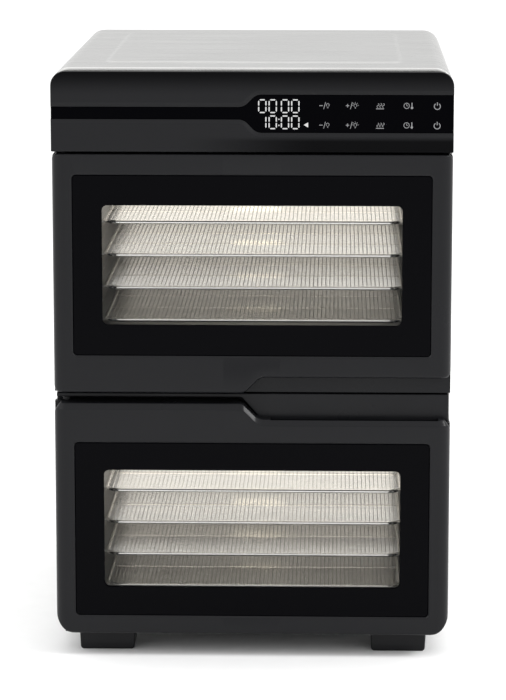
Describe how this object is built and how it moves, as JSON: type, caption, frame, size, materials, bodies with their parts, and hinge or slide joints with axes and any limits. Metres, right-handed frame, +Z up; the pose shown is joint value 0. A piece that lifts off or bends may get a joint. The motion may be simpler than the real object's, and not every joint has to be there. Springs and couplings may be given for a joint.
{
  "type": "food dehydrator",
  "caption": "Countertop box food dehydrator: stacked drying zones behind side-hinged glazed doors, slide-in mesh trays, touch-control fascia and a brushed steel cover.",
  "frame": {"origin": "on the floor plane under the centre of the overall box", "axes": "+X to the right seen from the front, +Y from the doors to the rear panel, +Z up"},
  "size_m": [0.345, 0.42, 0.52],
  "materials": {
    "brushed_cover": "brushed across the width, satin",
    "coated_steel": "black powder coat, fine grain",
    "black_moulding": "satin black moulding with a fine texture",
    "gloss_lens": "high gloss piano black",
    "display": "dark display with white lit digits",
    "circuit_board": "green solder mask",
    "chamber_steel": "stainless, satin",
    "bright_steel": "bright plated steel",
    "heater_sheath": "heat-tinted stainless sheath",
    "lamp_lens": "frosted lamp lens, lit",
    "door_glass": "clear tempered glass with a black printed border",
    "silicone": "grey-black silicone",
    "tray_wire": "stainless wire, electropolished"
  },
  "bodies": {
    "cabinet": {"outer_cover": "brushed_cover", "rear_panel": "coated_steel", "base_pan": "coated_steel", "front_frame": "black_moulding", "power_board": "circuit_board", "top_hinge_pin": "coated_steel", "middle_hinge_pin": "coated_steel", "bottom_hinge_bracket": "coated_steel", "front_left_foot": "black_moulding", "front_right_foot": "black_moulding", "rear_left_foot": "black_moulding", "rear_right_foot": "black_moulding", "control_fascia": "black_moulding", "display_lens": "gloss_lens", "control_board": "circuit_board", "display_module": "display", "cord_bushing": "black_moulding", "rear_screw_1": "bright_steel", "rear_screw_2": "bright_steel", "rear_screw_3": "bright_steel", "rear_screw_4": "bright_steel", "upper_liner": "chamber_steel", "upper_left_rack": "chamber_steel", "upper_right_rack": "chamber_steel", "upper_baffle": "chamber_steel", "upper_heater": "heater_sheath", "upper_motor": "coated_steel", "upper_lamp": "lamp_lens", "upper_sensor": "bright_steel", "upper_catch": "coated_steel", "lower_liner": "chamber_steel", "lower_left_rack": "chamber_steel", "lower_right_rack": "chamber_steel", "lower_baffle": "chamber_steel", "lower_heater": "heater_sheath", "lower_motor": "coated_steel", "lower_lamp": "lamp_lens", "lower_sensor": "bright_steel", "lower_catch": "coated_steel"},
    "upper_fan": {"upper_fan": "bright_steel"},
    "upper_door": {"upper_door_casing": "black_moulding", "upper_door_glass": "door_glass", "upper_door_liner": "chamber_steel", "upper_door_seal": "silicone", "upper_strike": "bright_steel"},
    "upper_tray_1": {"upper_tray_1": "tray_wire"},
    "upper_tray_2": {"upper_tray_2": "tray_wire"},
    "upper_tray_3": {"upper_tray_3": "tray_wire"},
    "upper_tray_4": {"upper_tray_4": "tray_wire"},
    "lower_fan": {"lower_fan": "bright_steel"},
    "lower_door": {"lower_door_casing": "black_moulding", "lower_door_glass": "door_glass", "lower_door_liner": "chamber_steel", "lower_door_seal": "silicone", "lower_strike": "bright_steel"},
    "lower_tray_1": {"lower_tray_1": "tray_wire"},
    "lower_tray_2": {"lower_tray_2": "tray_wire"},
    "lower_tray_3": {"lower_tray_3": "tray_wire"},
    "lower_tray_4": {"lower_tray_4": "tray_wire"}
  },
  "joints": [
    {"name": "upper_door_hinge", "type": "hinge", "parent": "cabinet", "child": "upper_door", "pos_m": [-0.1625, -0.192, 0.35], "axis": [0, 0, -1], "range_deg": [0, 100]},
    {"name": "upper_fan_spin", "type": "hinge", "parent": "cabinet", "child": "upper_fan", "pos_m": [0, 0.15, 0.35], "axis": [0, 1, 0], "continuous": true},
    {"name": "upper_tray_1_slide", "type": "slide", "parent": "cabinet", "child": "upper_tray_1", "axis": [0, -1, 0], "range_m": [0, 0.011]},
    {"name": "upper_tray_2_slide", "type": "slide", "parent": "cabinet", "child": "upper_tray_2", "axis": [0, -1, 0], "range_m": [0, 0.011]},
    {"name": "upper_tray_3_slide", "type": "slide", "parent": "cabinet", "child": "upper_tray_3", "axis": [0, -1, 0], "range_m": [0, 0.011]},
    {"name": "upper_tray_4_slide", "type": "slide", "parent": "cabinet", "child": "upper_tray_4", "axis": [0, -1, 0], "range_m": [0, 0.011]},
    {"name": "lower_door_hinge", "type": "hinge", "parent": "cabinet", "child": "lower_door", "pos_m": [-0.1625, -0.192, 0.11], "axis": [0, 0, -1], "range_deg": [0, 100]},
    {"name": "lower_fan_spin", "type": "hinge", "parent": "cabinet", "child": "lower_fan", "pos_m": [0, 0.15, 0.11], "axis": [0, 1, 0], "continuous": true},
    {"name": "lower_tray_1_slide", "type": "slide", "parent": "cabinet", "child": "lower_tray_1", "axis": [0, -1, 0], "range_m": [0, 0.011]},
    {"name": "lower_tray_2_slide", "type": "slide", "parent": "cabinet", "child": "lower_tray_2", "axis": [0, -1, 0], "range_m": [0, 0.011]},
    {"name": "lower_tray_3_slide", "type": "slide", "parent": "cabinet", "child": "lower_tray_3", "axis": [0, -1, 0], "range_m": [0, 0.011]},
    {"name": "lower_tray_4_slide", "type": "slide", "parent": "cabinet", "child": "lower_tray_4", "axis": [0, -1, 0], "range_m": [0, 0.011]}
  ]
}
